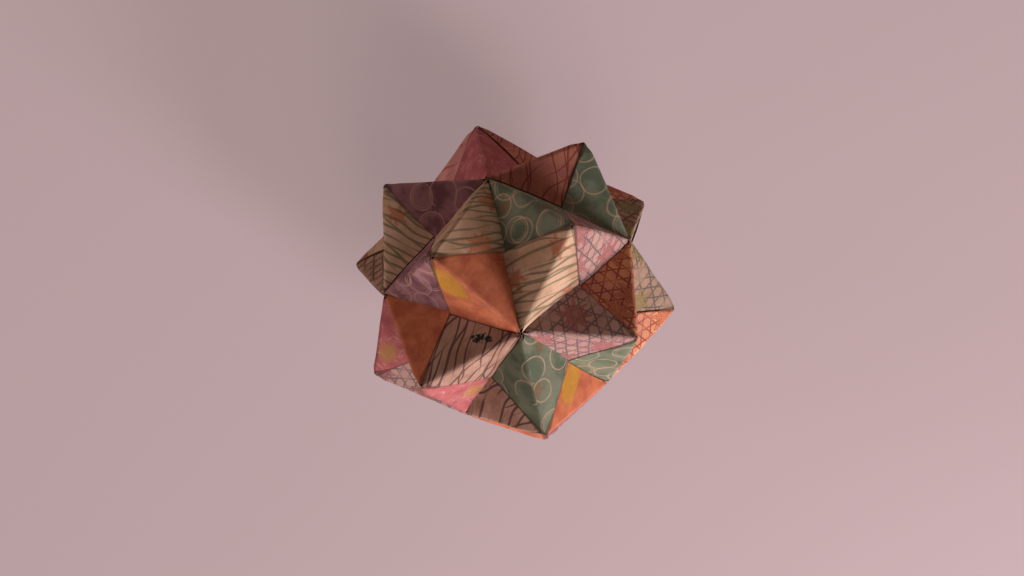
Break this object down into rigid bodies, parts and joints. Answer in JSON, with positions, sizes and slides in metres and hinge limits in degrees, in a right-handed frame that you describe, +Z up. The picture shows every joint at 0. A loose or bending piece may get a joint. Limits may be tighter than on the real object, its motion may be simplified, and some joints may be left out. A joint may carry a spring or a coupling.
{
  "type": "kusudama paper ball",
  "caption": "Star-pointed modular paper ball: square patterned sheets folded into interlocking units that tuck into each other's pockets, a desk or hanging ornament.",
  "frame": {"origin": "the middle of the footprint, on the surface that the ball stands on", "axes": "+Z up through the point where the five crown units meet; -Y over the far end of crown_unit_1"},
  "size_m": [0.0846, 0.0888, 0.074],
  "materials": {
    "cream_maple_paper": "matte printed paper",
    "orange_cloud_paper": "matte printed paper",
    "tan_grass_paper": "matte printed paper",
    "green_ring_paper": "matte printed paper",
    "pink_lattice_paper": "matte printed paper",
    "brown_lattice_paper": "matte printed paper",
    "rose_cloud_paper": "matte printed paper",
    "purple_ring_paper": "matte printed paper",
    "rust_grass_paper": "matte printed paper",
    "olive_lattice_paper": "matte printed paper",
    "leaf_lattice_paper": "matte printed paper",
    "salmon_wave_paper": "matte printed paper"
  },
  "bodies": {
    "root": {"crown_unit_1": "cream_maple_paper", "crown_unit_2": "orange_cloud_paper", "crown_unit_3": "tan_grass_paper", "crown_unit_4": "green_ring_paper", "crown_unit_5": "pink_lattice_paper", "shoulder_unit_1": "purple_ring_paper", "shoulder_unit_2": "rose_cloud_paper", "shoulder_unit_3": "orange_cloud_paper", "shoulder_unit_4": "brown_lattice_paper", "shoulder_unit_5": "green_ring_paper", "belt_unit_1": "rose_cloud_paper", "belt_unit_2": "cream_maple_paper", "belt_unit_3": "olive_lattice_paper", "belt_unit_4": "pink_lattice_paper", "belt_unit_5": "leaf_lattice_paper", "belt_unit_6": "purple_ring_paper", "belt_unit_7": "salmon_wave_paper", "belt_unit_8": "leaf_lattice_paper", "belt_unit_9": "olive_lattice_paper", "belt_unit_10": "rust_grass_paper", "hip_unit_1": "green_ring_paper", "hip_unit_2": "tan_grass_paper", "hip_unit_3": "rose_cloud_paper", "hip_unit_4": "brown_lattice_paper", "hip_unit_5": "salmon_wave_paper", "foot_unit_1": "pink_lattice_paper", "foot_unit_2": "rust_grass_paper", "foot_unit_3": "cream_maple_paper", "foot_unit_4": "orange_cloud_paper", "foot_unit_5": "purple_ring_paper"}
  },
  "joints": []
}
